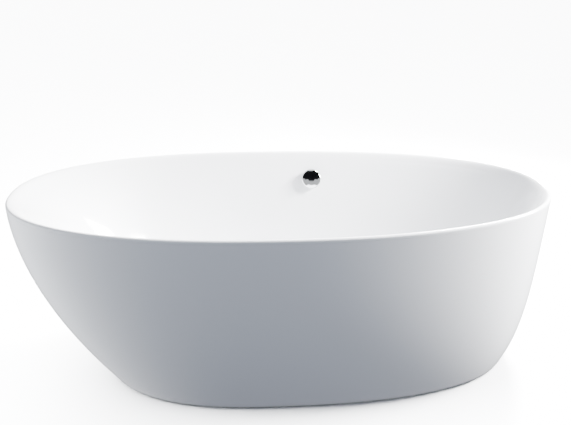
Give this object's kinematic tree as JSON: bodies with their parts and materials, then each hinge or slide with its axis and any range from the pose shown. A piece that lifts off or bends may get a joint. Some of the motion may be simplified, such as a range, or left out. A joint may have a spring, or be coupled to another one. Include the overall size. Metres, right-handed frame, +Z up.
{
  "type": "freestanding bathtub",
  "caption": "Oval freestanding double-walled acrylic bathtub with one long sloping backrest, a rotary overflow, a pop-up waste and a levelling foot frame.",
  "frame": {"origin": "on the floor, under the middle of the rim's length and width", "axes": "+Z up; +X towards the steeper foot end; +Y towards the back, the side with the overflow; right-handed"},
  "size_m": [1.7, 0.85, 0.58],
  "materials": {
    "acrylic": "polished, white",
    "chrome": "mirror polished",
    "steel": "zinc plated, satin",
    "rubber": "matte",
    "white_plastic": "moulded, satin",
    "grey_plastic": "moulded, satin",
    "brass": "machined",
    "board": "particle board under clear resin"
  },
  "bodies": {
    "root": {"inner_shell": "acrylic", "outer_shell": "acrylic", "base_board": "board", "rail_front": "steel", "rail_back": "steel", "cross_member_left": "steel", "cross_member_right": "steel", "board_screw_1": "steel", "board_screw_2": "steel", "board_screw_3": "steel", "board_screw_4": "steel", "frame_bolt_1": "steel", "frame_bolt_2": "steel", "frame_bolt_3": "steel", "frame_bolt_4": "steel", "frame_nut_1": "steel", "frame_nut_2": "steel", "frame_nut_3": "steel", "frame_nut_4": "steel", "foot_lock_nut_1": "steel", "foot_lock_nut_2": "steel", "foot_lock_nut_3": "steel", "foot_lock_nut_4": "steel", "foot_weld_nut_1": "steel", "foot_weld_nut_2": "steel", "foot_weld_nut_3": "steel", "foot_weld_nut_4": "steel", "overflow_faceplate": "chrome", "overflow_gasket": "rubber", "overflow_body": "white_plastic", "cable_gland_top": "brass", "cable_gland_bottom": "brass", "control_cable": "rubber", "overflow_pipe": "grey_plastic", "pipe_clamp_top": "steel", "pipe_clamp_bottom": "steel", "drain_flange": "chrome", "drain_gasket_upper": "rubber", "drain_gasket_lower": "rubber", "waste_body": "white_plastic", "stem_guide": "white_plastic", "cable_end_guide": "white_plastic", "trap_nut": "white_plastic", "trap_pipe": "white_plastic"},
    "knob": {"overflow_knob": "chrome", "knob_spindle": "brass", "cable_cam": "white_plastic"},
    "plug": {"drain_plug": "chrome", "plug_seal": "rubber", "lift_pin": "brass"},
    "foot_1": {"foot_pad_1": "rubber"},
    "rod_1": {"foot_rod_1": "steel"},
    "foot_2": {"foot_pad_2": "rubber"},
    "rod_2": {"foot_rod_2": "steel"},
    "foot_3": {"foot_pad_3": "rubber"},
    "rod_3": {"foot_rod_3": "steel"},
    "foot_4": {"foot_pad_4": "rubber"},
    "rod_4": {"foot_rod_4": "steel"}
  },
  "joints": [
    {"name": "knob_turn", "type": "hinge", "parent": "root", "child": "knob", "pos_m": [0.125, 0.35569, 0.49], "axis": [0.0556, 0.9052, -0.4213], "range_deg": [0, 90]},
    {"name": "plug_lift", "type": "slide", "parent": "root", "child": "plug", "axis": [0, 0, 1], "range_m": [0, 0.012]},
    {"name": "foot_1_travel", "type": "slide", "parent": "root", "child": "foot_1", "axis": [0, 0, -1], "range_m": [-0.00524, 0.01399]},
    {"name": "foot_1_turn", "type": "hinge", "parent": "foot_1", "child": "rod_1", "pos_m": [-0.33, -0.225, 0.07], "axis": [0, 0, -1], "range_deg": [-1080, 2880]},
    {"name": "foot_2_travel", "type": "slide", "parent": "root", "child": "foot_2", "axis": [0, 0, -1], "range_m": [-0.00524, 0.01399]},
    {"name": "foot_2_turn", "type": "hinge", "parent": "foot_2", "child": "rod_2", "pos_m": [-0.33, 0.225, 0.07], "axis": [0, 0, -1], "range_deg": [-1080, 2880]},
    {"name": "foot_3_travel", "type": "slide", "parent": "root", "child": "foot_3", "axis": [0, 0, -1], "range_m": [-0.00524, 0.01399]},
    {"name": "foot_3_turn", "type": "hinge", "parent": "foot_3", "child": "rod_3", "pos_m": [0.5, -0.225, 0.07], "axis": [0, 0, -1], "range_deg": [-1080, 2880]},
    {"name": "foot_4_travel", "type": "slide", "parent": "root", "child": "foot_4", "axis": [0, 0, -1], "range_m": [-0.00524, 0.01399]},
    {"name": "foot_4_turn", "type": "hinge", "parent": "foot_4", "child": "rod_4", "pos_m": [0.5, 0.225, 0.07], "axis": [0, 0, -1], "range_deg": [-1080, 2880]}
  ],
  "couplings": [
    {"joint": "plug_lift", "follows": "knob_turn", "m_per_rad": 0.007639},
    {"joint": "foot_1_turn", "follows": "foot_1_travel", "rad_per_m": 3590.4},
    {"joint": "foot_2_turn", "follows": "foot_2_travel", "rad_per_m": 3590.4},
    {"joint": "foot_3_turn", "follows": "foot_3_travel", "rad_per_m": 3590.4},
    {"joint": "foot_4_turn", "follows": "foot_4_travel", "rad_per_m": 3590.4}
  ]
}
